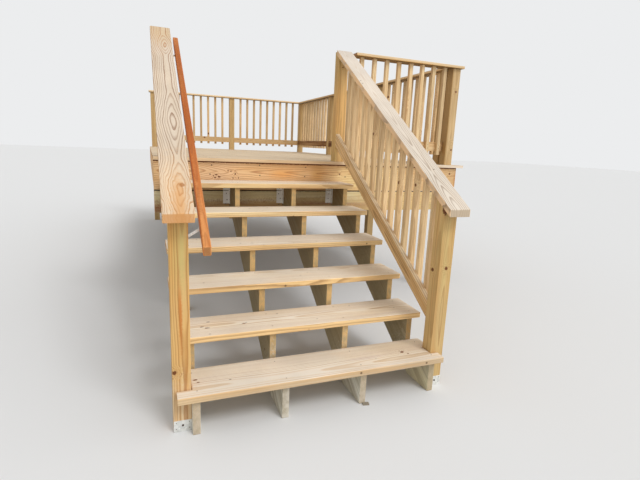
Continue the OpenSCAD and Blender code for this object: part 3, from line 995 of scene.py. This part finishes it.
class Yard:
    """Cuts the finished timbers and puts every piece into the scene."""

    # Corners nearer than WELD are one, faces that turn less than FLAT are one, and an
    # edge that turns more than SHARP is an arris
    WELD, FLAT, SHARP = 1e-5, math.radians(1), math.radians(25)
    # Where a timber was cut: metres up its log, shares of its width to the side, and from
    # the heart a share of a stick's thickness or, for a board, metres
    LOG = 30
    STICK_ASIDE, BOARD_ASIDE = 0.25, 0.35
    STICK_SINK, BOARD_SINK = 0.2, (0.03, 0.08)
    # A face that looks along the timber more than END is end grain, and one that looks
    # through it less than EDGE is a narrow side
    END, EDGE = 0.8, 0.5

    def __init__(self, nodes: dict[str, bpy.types.Object], effects: Effects, plan: Plan) -> None:
        """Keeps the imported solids.

        Args:
            nodes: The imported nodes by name.
            effects: The shared shader effects.
            plan: The site plan.
        """
        self.nodes = nodes
        self.effects = effects
        self.plan = plan
        self.made: dict[str, bpy.types.Material] = {}

    def material(self, finish: Timber | Zinc) -> bpy.types.Material:
        """Gives a finish's material, and builds it the first time.

        Args:
            finish: The finish.

        Returns:
            Its material.
        """
        if finish.name not in self.made:
            self.made[finish.name] = finish.make(self.effects, self.plan)
        return self.made[finish.name]

    def copy(self, node: str) -> bmesh.types.BMesh:
        """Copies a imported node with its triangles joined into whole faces.

        Args:
            node: The node's name.

        Returns:
            The copy.
        """
        bm = bmesh.new()
        bm.from_mesh(self.nodes[node].data)
        bmesh.ops.remove_doubles(bm, verts=bm.verts, dist=self.WELD)
        bmesh.ops.dissolve_limit(bm, angle_limit=self.FLAT, verts=bm.verts, edges=bm.edges)
        return bm

    @staticmethod
    def islands(bm: bmesh.types.BMesh) -> list[list[bmesh.types.BMVert]]:
        """Finds the separate timbers of a mesh.

        Args:
            bm: The mesh.

        Returns:
            The vertices of each timber.
        """
        found: list[list[bmesh.types.BMVert]] = []
        seen: set[int] = set()
        bm.verts.index_update()
        for start in bm.verts:
            if start.index in seen:
                continue
            seen.add(start.index)
            group = [start]
            for vert in group:
                for edge in vert.link_edges:
                    other = edge.other_vert(vert)
                    if other.index not in seen:
                        seen.add(other.index)
                        group.append(other)
            found.append(group)
        return found

    def ease(self, bm: bmesh.types.BMesh, width: float) -> None:
        """Rounds the outer arrises and marks the new faces as worn.

        Args:
            bm: The mesh of one or more timbers.
            width: How far a rounding reaches on each face.
        """
        worn = bm.faces.layers.float.new("arris")
        bm.normal_update()
        sharp = [
            e for e in bm.edges
            if e.is_manifold and e.is_convex and e.calc_face_angle() > self.SHARP
        ]
        made = bmesh.ops.bevel(
            bm, geom=sharp, offset=width, offset_type="OFFSET", segments=2, profile=0.5,
            affect="EDGES", clamp_overlap=True, material=-1,
        )
        for face in made["faces"]:
            face[worn] = 1.0

    @staticmethod
    def spans(verts: Sequence[bmesh.types.BMVert], sloped: bool) -> list[Span]:
        """Measures a timber along its length, its width and its thickness.

        Args:
            verts: Its vertices.
            sloped: Whether its length lies along the flight.

        Returns:
            For each of the three, how long it is, where it starts and which way it runs.
        """
        found = []
        for axis in (SLOPE, RIGHT, SLOPE.cross(RIGHT)) if sloped else (RIGHT, BACK, UP):
            reach = [v.co.dot(axis) for v in verts]
            found.append((max(reach) - min(reach), min(reach), axis))
        fixed = 1 if sloped else 0
        return found[:fixed] + sorted(found[fixed:], key=lambda span: -span[0])

    def heart(self, spans: Sequence[Span], chance: random.Random | None) -> Point:
        """Finds where a timber lay in its log.

        Args:
            spans: Its length, width and thickness.
            chance: What draws its place, or nothing for a timber that is measured from
                its lower end and its middle.

        Returns:
            The place of the grain's start and heart along, across and through it.
        """
        (_, start, _), (wide, left, _), (thin, under, _) = spans
        middle, depth = left + wide / 2, under + thin / 2
        if chance is None:
            return (start, middle, depth)
        stick = wide < 2 * thin
        start = -chance.uniform(0, self.LOG)
        reach = (self.STICK_ASIDE if stick else self.BOARD_ASIDE) * wide
        middle += chance.uniform(-reach, reach)
        if stick:
            return (start, middle, depth + chance.uniform(-self.STICK_SINK, self.STICK_SINK) * thin)
        sink = chance.uniform(*self.BOARD_SINK)
        return (start, middle, depth + (sink if chance.random() < 0.5 else -sink))

    def mark(self, bm: bmesh.types.BMesh, name: str, sloped: bool, measured: bool) -> None:
        """Gives each timber its own place in the log it was sawn from.

        Args:
            bm: The mesh of one or more timbers.
            name: The piece's name, which seeds the choice.
            sloped: Whether the timbers lie along the flight.
            measured: Whether grain is measured from the lower end and the middle.
        """
        grain = bm.verts.layers.float_vector.new("grain")
        board = bm.verts.layers.float_vector.new("board")
        side = bm.faces.layers.float_vector.new("side")
        bm.normal_update()
        for number, verts in enumerate(self.islands(bm)):
            chance = random.Random(f"{name} {number}")
            spans = self.spans(verts, sloped)
            heart = self.heart(spans, None if measured else chance)
            mood = Vector((chance.random(), chance.random(), chance.random()))
            ways = [way for _, _, way in spans]
            for face in {f for v in verts for f in v.link_faces}:
                end = abs(face.normal.dot(ways[0])) > self.END
                narrow = abs(face.normal.dot(ways[2])) < self.EDGE
                face[side] = Vector((float(end), float(narrow), 0.0))
            for vert in verts:
                vert[grain] = Vector(vert.co.dot(way) - start for way, start in zip(ways, heart))
                vert[board] = mood

    def finish(
        self, bm: bmesh.types.BMesh, name: str, finish: Timber | Zinc, slot: Slot,
        replaces: Sequence[str] = (),
    ) -> None:
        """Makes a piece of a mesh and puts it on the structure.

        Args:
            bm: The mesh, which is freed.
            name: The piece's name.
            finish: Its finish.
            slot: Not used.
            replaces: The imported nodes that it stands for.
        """
        mesh = bpy.data.meshes.new(name)
        bm.to_mesh(mesh)
        bm.free()
        mesh.materials.append(self.material(finish))
        piece = stand(name, mesh)
        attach(piece, "root")
        if replaces:
            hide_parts(*replaces)
        log.info("%s: %d faces", name, len(mesh.polygons))

    def timber(
        self, node: str, finish: Timber, slot: Slot, ease: float = 0.003, sloped: bool = False,
        bm: bmesh.types.BMesh | None = None,
    ) -> None:
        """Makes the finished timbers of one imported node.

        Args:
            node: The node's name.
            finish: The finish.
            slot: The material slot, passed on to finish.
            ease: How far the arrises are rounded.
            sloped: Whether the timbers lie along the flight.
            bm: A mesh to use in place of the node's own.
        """
        bm = bm or self.copy(node)
        self.ease(bm, ease)
        name = node + "_timber"
        self.mark(bm, name, sloped, finish.figure is not None)
        self.finish(bm, name, finish, slot, [node])

    def dress(self, node: str, finish: Zinc, ease: float) -> None:
        """Gives a packed steel node its finish and slightly rounded edges.

        Args:
            node: The node's name.
            finish: The finish.
            ease: How far its edges are rounded.
        """
        piece = self.nodes[node]
        piece.data.materials.clear()
        piece.data.materials.append(self.material(finish))
        weld = piece.modifiers.new("weld", "WELD")
        weld.merge_threshold = self.WELD
        bevel = piece.modifiers.new("edges", "BEVEL")
        bevel.width = ease
        bevel.segments = 2
        bevel.limit_method = "ANGLE"
        log.info("%s: dressed in %s", node, finish.name)

    def heads(
        self, name: str, places: Iterable[tuple[Vector, Vector]], head: Head, finish: Zinc
    ) -> None:
        """Makes the heads of many screws, nails or bolts as one piece.

        Args:
            name: The piece's name.
            places: The foot of each head and the way it faces.
            head: A head's size.
            finish: The finish.
        """
        bm = bmesh.new()
        for foot, facing in places:
            turn = facing.to_track_quat("Z", "Y").to_matrix().to_4x4()
            bmesh.ops.create_cone(
                bm, cap_ends=True, segments=head.sides, radius1=head.radius,
                radius2=head.radius * head.taper, depth=2 * head.proud,
                matrix=Matrix.Translation(foot) @ turn,
            )
        self.finish(bm, name, finish, Slot.ZINC)


def box_mesh(boxes: Iterable[tuple[Vector, Vector]]) -> bmesh.types.BMesh:
    """Makes closed boxes.

    Args:
        boxes: The lowest and highest corner of each.

    Returns:
        One mesh with all of them.
    """
    bm = bmesh.new()
    for low, high in boxes:
        size = high - low
        shape = Matrix.Translation((low + high) / 2) @ Matrix.Diagonal((*size, 1.0))
        bmesh.ops.create_cube(bm, size=1.0, matrix=shape)
    return bm


@dataclass
class Part:
    """A part of the structure, with the yard that makes it and the finishes it takes."""

    yard: Yard
    finishes: Finishes

    def at(self, x: float, y: float, z: float) -> Vector:
        """Turns a point of the site plan into the part's frame."""
        return self.yard.plan.at(x, y, z)

    def heads(
        self, name: str, places: Iterable[tuple[Vector, Vector]], head: Head, finish: Zinc | None = None
    ) -> None:
        """Makes the heads of many screws, nails or bolts as one piece, dark if not told otherwise."""
        self.yard.heads(name, places, head, finish or self.finishes.screws)


@dataclass
class Flight(Part):
    """The stringers and treads, with the screws that hold them."""

    NEAR: ClassVar[float] = 1e-4

    treads: int = 6
    tread_ease: float = 0.006
    corner: float = 0.018
    corner_steps: int = 4
    screw: Head = Head(0.004, 0.0006)
    screw_places: tuple[float, ...] = (0.05, 0.235)
    screw_stray: tuple[float, float] = (0.008, 0.01)

    def build(self) -> None:
        """Builds the flight."""
        for number in range(1, STRINGERS + 1):
            self.yard.timber(f"stringer_{number}", self.finishes.stringer, Slot.STRINGERS, sloped=True)
        for number in range(1, self.treads + 1):
            node = f"tread_{number}"
            bm = self.yard.copy(node)
            if number == 1:
                self.round_corner(bm)
            self.yard.timber(node, self.finishes.tread, Slot.TREADS, self.tread_ease, bm=bm)
        self.screws()

    def round_corner(self, bm: bmesh.types.BMesh) -> None:
        """Rounds the first tread's worn back right corner.

        Args:
            bm: The tread's mesh.
        """
        x, y = max(v.co.x for v in bm.verts), max(v.co.y for v in bm.verts)
        edges = [
            e for e in bm.edges
            if all(abs(v.co.x - x) < self.NEAR and abs(v.co.y - y) < self.NEAR for v in e.verts)
        ]
        bmesh.ops.bevel(
            bm, geom=edges, offset=self.corner, offset_type="OFFSET", segments=self.corner_steps,
            profile=0.5, affect="EDGES", material=-1,
        )

    def screws(self) -> None:
        """Adds a pair of screws where each tread crosses each stringer."""
        chance = random.Random("tread screws")
        wide, deep = self.screw_stray
        places = []
        for tread in range(self.treads):
            for stringer in range(STRINGERS):
                for depth in self.screw_places:
                    x = POST + PLANK / 2 + stringer * STRINGER_PITCH + chance.uniform(-wide, wide)
                    y = FIRST_FRONT + tread * RUN + depth + chance.uniform(-deep, deep)
                    places.append((self.at(x, y, FIRST_TOP + tread * RISE), UP))
        self.heads("tread_screws", places, self.screw, self.finishes.dull_screws)


@dataclass
class StairRails(Part):
    """The posts, sloped caps, handrail, bottom rail and balusters of the flight."""

    plank_ease: float = 0.004
    stick_ease: float = 0.0025
    screw: Head = Head(0.0035, 0.0006)
    screw_heights: tuple[float, ...] = (-0.02, 0.022)

    def build(self) -> None:
        """Builds both sides' rails."""
        own, timber, ease = self.finishes, self.yard.timber, self.plank_ease
        for side, finish in (("left", own.left_post), ("right", own.right_post)):
            timber(f"bottom_post_{side}", finish, Slot.POSTS)
            timber(f"top_post_{side}", finish, Slot.POSTS)
        timber("stair_cap_left", own.left_cap, Slot.STAIR_CAPS, ease, sloped=True)
        timber("stair_cap_right", own.right_cap, Slot.STAIR_CAPS, ease, sloped=True)
        timber("handrail", own.handrail, Slot.STAINED, ease, sloped=True)
        timber("stair_bottom_rail", own.rail, Slot.BALUSTERS, sloped=True)
        timber("stair_balusters", own.baluster, Slot.BALUSTERS, self.stick_ease)
        self.screws()

    def screws(self) -> None:
        """Adds the screws that hold each baluster to the bottom rail."""
        low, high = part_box("stair_bottom_rail")
        rail = (low + high) / 2
        sticks = self.yard.copy("stair_balusters")
        places = []
        for verts in self.yard.islands(sticks):
            face = max(v.co.x for v in verts)
            y = sum(v.co.y for v in verts) / len(verts)
            for height in self.screw_heights:
                z = rail.z + (y - rail.y) * RISE / RUN + height
                places.append((Vector((face, y, z)), RIGHT))
        sticks.free()
        self.heads("stair_rail_screws", places, self.screw)


@dataclass
class DeckFrame(Part):
    """The rims, joists, beams and posts that carry the deck."""

    nail: Head = Head(0.006, 0.0008)
    nail_heights: tuple[float, ...] = (1.107, 1.1825, 1.2617)
    nail_stray: tuple[float, float] = (0.01, 0.006)

    def build(self) -> None:
        """Builds the frame under the deck."""
        own, timber = self.finishes, self.yard.timber
        timber("front_rim", own.front_rim, Slot.RIMS)
        for node in ("side_rim", "rear_rim", "house_side_rim"):
            timber(node, own.rim, Slot.RIMS)
        timber("front_lower_board", own.lower_board, Slot.RIMS)
        for node in ("joists", "beams", "support_posts"):
            timber(node, own.support, Slot.SUPPORT)
        for node in (
            "front_corner_post", "side_front_post", "side_post_1", "side_post_2", "rear_corner_post",
            "rear_middle_post", "rear_left_post",
        ):
            timber(node, own.guard_post, Slot.POSTS)
        self.nails()

    def nails(self) -> None:
        """Adds the nails that hold the front rim to the joists."""
        chance = random.Random("rim nails")
        wide, tall = self.nail_stray
        places = []
        for joist in range(1, JOISTS + 1):
            for height in self.nail_heights:
                x = joist * JOIST_PITCH + chance.uniform(-wide, wide)
                z = height + chance.uniform(-tall, tall)
                places.append((self.at(x, RIM_FRONT, z), FRONT))
        self.heads("rim_nails", places, self.nail)


@dataclass
class Decking(Part):
    """The deck's single boards and their screws."""

    TOUCH: ClassVar[float] = 1e-6

    boards: int = 33
    gap: float = 0.005
    uneven: float = 0.004
    ease: float = 0.004
    screw: Head = Head(0.004, 0.0006)
    screw_edge: float = 0.03
    screw_stray: tuple[float, float] = (0.006, 0.005)

    def build(self) -> None:
        """Saws the decking into boards and screws them down."""
        low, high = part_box("decking")
        pitch = (high.y - low.y + self.gap) / self.boards
        chance = random.Random("deck boards")
        wide, deep = self.screw_stray
        whole = bmesh.new()
        places = []
        for number in range(self.boards):
            start = low.y + number * pitch
            end = start + pitch - self.gap
            board = self.yard.copy("decking")
            self.slice(board, Vector((0, start, 0)), FRONT)
            self.slice(board, Vector((0, end, 0)), BACK)
            self.slice(board, Vector((high.x - chance.uniform(0, self.uneven), 0, 0)), RIGHT)
            sawn = bpy.data.meshes.new("sawn")
            board.to_mesh(sawn)
            board.free()
            whole.from_mesh(sawn)
            bpy.data.meshes.remove(sawn)
            for joist in range(1, JOISTS + 1):
                for edge in (start + self.screw_edge, end - self.screw_edge):
                    x = self.yard.plan.corner.x + joist * JOIST_PITCH + chance.uniform(-wide, wide)
                    places.append((Vector((x, edge + chance.uniform(-deep, deep), high.z)), UP))
        self.yard.timber("decking", self.finishes.deck, Slot.DECK, self.ease, bm=whole)
        self.heads("deck_screws", places, self.screw, self.finishes.dull_screws)

    def slice(self, bm: bmesh.types.BMesh, point: Vector, outward: Vector) -> None:
        """Saws a board off square and closes the cut.

        Args:
            bm: The board's mesh.
            point: A point on the cut.
            outward: The side that falls off.
        """
        geometry = bm.verts[:] + bm.edges[:] + bm.faces[:]
        cut = bmesh.ops.bisect_plane(
            bm, geom=geometry, dist=self.TOUCH, plane_co=point, plane_no=outward, clear_outer=True
        )
        edges = [g for g in cut["geom_cut"] if isinstance(g, bmesh.types.BMEdge)]
        open_edges = [e for e in edges if e.is_boundary]
        if open_edges:
            bmesh.ops.holes_fill(bm, edges=open_edges, sides=0)


@dataclass
class Guards(Part):
    """The flat caps and the baluster bays round the deck."""

    cap_ease: float = 0.004
    stick_ease: float = 0.0025
    pitch: float = 0.128
    front_first: float = 0.146
    rail_height: float = 0.089
    drop: float = 0.036
    screw: Head = Head(0.0035, 0.0006)
    screw_heights: tuple[float, ...] = (0.028, 0.062)

    def build(self) -> None:
        """Builds the guards."""
        for node in ("front_guard_cap", "side_guard_cap", "rear_guard_cap"):
            self.yard.timber(node, self.finishes.guard_cap, Slot.GUARD_CAPS, self.cap_ease)
        for node, turn, posts in (
            ("front_guard_panel", 0.0, ("top_post_right", "front_corner_post")),
            ("side_guard_panels", 90.0, (
                "side_front_post", "side_post_1", "side_post_2", "rear_corner_post",
            )),
            ("rear_guard_panels", 180.0, ("rear_corner_post", "rear_middle_post", "rear_left_post")),
        ):
            self.panel(node, turn, posts)

    def panel(self, node: str, turn: float, posts: Sequence[str]) -> None:
        """Builds the bottom rails and balusters between some posts.

        Args:
            node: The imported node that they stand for.
            turn: The way that the bays run, in degrees from +X.
            posts: The posts in that order.
        """
        spin = Matrix.Rotation(math.radians(turn), 4, "Z")
        back = spin.inverted()
        whole = self.turned(back, node)
        reach = [self.turned(back, post) for post in posts]
        front, low, top = whole[0].y, whole[0].z, whole[1].z
        side = whole[1].y - front - PLANK
        rail = low + self.drop
        boxes = []
        places = []
        for near, far in zip(reach, reach[1:]):
            start, clear = near[1].x, far[0].x - near[1].x
            count = round(clear / self.pitch) - 1
            first = (clear - (count - 1) * self.pitch) / 2
            if posts[0] == "top_post_right":
                first = self.front_first
                count = int((clear - first - side) / self.pitch) + 1
            boxes.append((
                Vector((start, front + side, rail)),
                Vector((start + clear, front + side + PLANK, rail + self.rail_height)),
            ))
            for number in range(count):
                x = start + first + number * self.pitch
                boxes.append((
                    Vector((x - side / 2, front, low)), Vector((x + side / 2, front + side, top)),
                ))
                for height in self.screw_heights:
                    foot = spin @ Vector((x, front, rail + height))
                    places.append((foot, spin.to_3x3() @ FRONT))
        bm = box_mesh(boxes)
        bm.transform(spin)
        self.yard.timber(node, self.finishes.baluster, Slot.BALUSTERS, self.stick_ease, bm=bm)
        name = node.replace("panels", "screws").replace("panel", "screws")
        self.heads(name, places, self.screw)

    @staticmethod
    def turned(turn: Matrix, node: str) -> tuple[Vector, Vector]:
        """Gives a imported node's box after a turn about the part's origin.

        Args:
            turn: The turn.
            node: The node's name.

        Returns:
            The lowest and highest corner.
        """
        first, second = (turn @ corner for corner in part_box(node))
        low = Vector(min(pair) for pair in zip(first, second))
        return low, Vector(max(pair) for pair in zip(first, second))


@dataclass
class Metalwork(Part):
    """The post bases, stringer hangers and handrail brackets with their fixings."""

    base_steel: float = 0.004
    base_ease: float = 0.0008
    base_bolt: Head = Head(0.0065, 0.004, sides=6)
    bolt_height: float = 0.036
    base_nail: Head = Head(0.0028, 0.0008)
    base_nail_places: tuple[float, float] = (-0.032, 0.032)
    base_nail_heights: tuple[float, float] = (0.018, 0.052)
    thin_steel: float = 0.003
    thin_ease: float = 0.0006
    hanger_nail: Head = Head(0.0045, 0.001)
    hanger_nail_heights: tuple[float, ...] = (0.89, 0.935, 0.98, 1.025, 1.075)
    hanger_nail_in: float = 0.018
    hanger_nail_stray: float = 0.006
    bracket_screw: Head = Head(0.0032, 0.001)
    bracket_screw_in: float = 0.007
    bracket_screw_up: float = 0.008
    shim_place: Point = (1.05, -0.0665, 0.004)
    shim_size: Point = (0.036, 0.024, 0.008)
    shim_turn: float = -12.0

    def build(self) -> None:
        """Dresses the steel and adds its fixings and the shim."""
        self.yard.dress("post_bases", self.finishes.steel, self.base_ease)
        self.yard.dress("stringer_hangers", self.finishes.hangers, self.thin_ease)
        self.yard.dress("handrail_brackets", self.finishes.steel, self.thin_ease)
        self.base_fixings()
        self.hanger_nails()
        self.bracket_screws()
        self.shim()

    def base_fixings(self) -> None:
        """Adds the bolts and nails before and behind the bottom posts."""
        bolts = []
        nails = []
        for post in (POST / 2, RIGHT_POST + POST / 2):
            for y, facing in ((-self.base_steel, FRONT), (POST + self.base_steel, BACK)):
                bolts.append((self.at(post, y, self.bolt_height), facing))
            for x in self.base_nail_places:
                for z in self.base_nail_heights:
                    nails.append((self.at(post + x, -self.base_steel, z), FRONT))
                    nails.append((self.at(post + x, POST + self.base_steel, z), BACK))
        self.heads("base_bolts", bolts, self.base_bolt)
        self.heads("base_nails", nails, self.base_nail)

    def hanger_nails(self) -> None:
        """Adds the nails in both flanges of each stringer hanger."""
        chance = random.Random("hanger nails")
        stray, front = self.hanger_nail_stray, RIM_FRONT - self.thin_steel
        nails = []
        for hanger in range(STRINGERS):
            x = POST + hanger * STRINGER_PITCH
            for height in self.hanger_nail_heights:
                z = height + chance.uniform(-stray, stray)
                across = self.hanger_nail_in + chance.uniform(-stray, 3 * stray)
                nails.append((self.at(x - across, front, z), FRONT))
                nails.append((self.at(x - self.thin_steel, front - across, z), -RIGHT))
        self.heads("hanger_nails", nails, self.hanger_nail)

    def bracket_screws(self) -> None:
        """Adds the screws in the plate of each handrail bracket."""
        plates = self.yard.copy("handrail_brackets")
        screws = []
        for verts in self.yard.islands(plates):
            low = min(v.co.z for v in verts)
            near, far = min(v.co.y for v in verts), max(v.co.y for v in verts)
            face = min(v.co.x for v in verts) + self.thin_steel
            for y in (near + self.bracket_screw_in, far - self.bracket_screw_in):
                screws.append((Vector((face, y, low + self.bracket_screw_up)), RIGHT))
        plates.free()
        self.heads("bracket_screws", screws, self.bracket_screw)

    def shim(self) -> None:
        """Lays the bent plate that lies before the third stringer's foot, made as a flat box."""
        bm = bmesh.new()
        place = Matrix.Translation(self.at(*self.shim_place))
        turn = Matrix.Rotation(math.radians(self.shim_turn), 4, "Z")
        size = Matrix.Diagonal((*self.shim_size, 1.0))
        bmesh.ops.create_cube(bm, size=1.0, matrix=place @ (turn @ size))
        self.yard.finish(bm, "foot_shim", self.finishes.shim, Slot.ZINC)


@dataclass(frozen=True)
class Sun:
    """A lamp far away: its strength, its width in degrees and where it shines from."""

    name: str
    energy: float
    width: float
    source: Point

    def rise(self) -> None:
        """Puts the lamp into the scene."""
        lamp = bpy.data.lights.new(self.name, "SUN")
        lamp.energy = self.energy
        lamp.angle = math.radians(self.width)
        stand(self.name, lamp).rotation_euler = Vector(self.source).to_track_quat("Z", "Y").to_euler()


@dataclass
class Studio:
    """The plain floor, the light and the camera."""

    plan: Plan
    floor_size: float = 60.0
    floor_seen: Colour = (226, 227, 228)
    floor_lit: Colour = (200, 200, 197)
    floor_rough: float = 0.95
    floor_glance: float = 0.1
    backdrop: Colour = (236, 237, 238)
    sky: tuple[float, float, float, float] = (1.0, 0.99, 0.97, 1.0)
    sky_strength: float = 0.62
    suns: tuple[Sun, ...] = (
        Sun("key", 1.0, 20.0, (0.35, -0.75, 1.0)), Sun("fill", 0.9, 85.0, (0.75, -0.8, 0.75)),
    )
    place: Point = (-0.0703, -2.06955, 1.4464)
    yaw: float = 21.566
    pitch: float = 12.09
    roll: float = -2.51
    lens: float = 24.577
    sensor: float = 36.0
    clips: tuple[float, float] = (0.05, 200.0)

    def build(self) -> None:
        """Sets up the stage."""
        self.floor()
        self.light()
        self.camera()

    def floor(self) -> None:
        """Lays the floor."""
        bm = bmesh.new()
        bmesh.ops.create_grid(bm, x_segments=1, y_segments=1, size=self.floor_size)
        mesh = bpy.data.meshes.new("floor")
        bm.to_mesh(mesh)
        bm.free()
        floor = stand("floor", mesh)
        material, tree, shader = blank("floor")
        seen = tree.add("ShaderNodeLightPath").outputs["Is Camera Ray"]
        colour = tree.mix(seen, paint(self.floor_lit), paint(self.floor_seen))
        tree.put(shader.inputs["Base Color"], colour)
        shader.inputs["Roughness"].default_value = self.floor_rough
        shader.inputs["Specular IOR Level"].default_value = self.floor_glance
        mesh.materials.append(material)

    def light(self) -> None:
        """Lights the stage softly, a little from the front right."""
        world = bpy.data.worlds.new("studio")
        bpy.context.scene.world = world
        world.use_nodes = True
        tree = Tree(world.node_tree)
        out = world.node_tree.nodes["World Output"]
        soft = world.node_tree.nodes["Background"]
        soft.inputs["Color"].default_value = self.sky
        soft.inputs["Strength"].default_value = self.sky_strength
        shown = tree.add("ShaderNodeBackground")
        shown.inputs["Color"].default_value = paint(self.backdrop)
        ray = tree.add("ShaderNodeLightPath")
        seen = tree.math("MAXIMUM", ray.outputs["Is Camera Ray"], ray.outputs["Is Glossy Ray"])
        seen = tree.math("MAXIMUM", seen, ray.outputs["Is Transmission Ray"])
        blend = tree.feed("ShaderNodeMixShader", seen, soft.outputs[0], shown.outputs[0])
        tree.put(out.inputs["Surface"], blend.outputs[0])
        for sun in self.suns:
            sun.rise()

    def camera(self) -> None:
        """Sets the camera where the flight is seen from."""
        yaw, pitch, roll = (math.radians(a) for a in (self.yaw, self.pitch, self.roll))
        ahead = Vector((
            math.sin(yaw) * math.cos(pitch), math.cos(yaw) * math.cos(pitch), -math.sin(pitch),
        ))
        level = Vector((math.cos(yaw), -math.sin(yaw), 0.0))
        down = ahead.cross(level)
        right = math.cos(roll) * level + math.sin(roll) * down
        below = math.cos(roll) * down - math.sin(roll) * level
        data = bpy.data.cameras.new("camera")
        data.lens, data.sensor_width = self.lens, self.sensor
        data.clip_start, data.clip_end = self.clips
        camera = stand("camera", data)
        turn = Matrix((right, -below, -ahead)).transposed()
        camera.matrix_world = Matrix.Translation(self.plan.at(*self.place)) @ turn.to_4x4()
        bpy.context.scene.camera = camera
        bpy.context.scene.view_settings.view_transform = "Standard"


def main() -> None:
    """Builds the classes in order."""
    logging.basicConfig(level=logging.INFO, format="%(message)s")
    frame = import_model()
    plan = Plan()
    Studio(plan).build()
    yard = Yard(frame["nodes"], Effects(), plan)
    finishes = Finishes()
    for part in (Flight, StairRails, DeckFrame, Decking, Guards, Metalwork):
        part(yard, finishes).build()


if __name__ == "__main__":
    main()
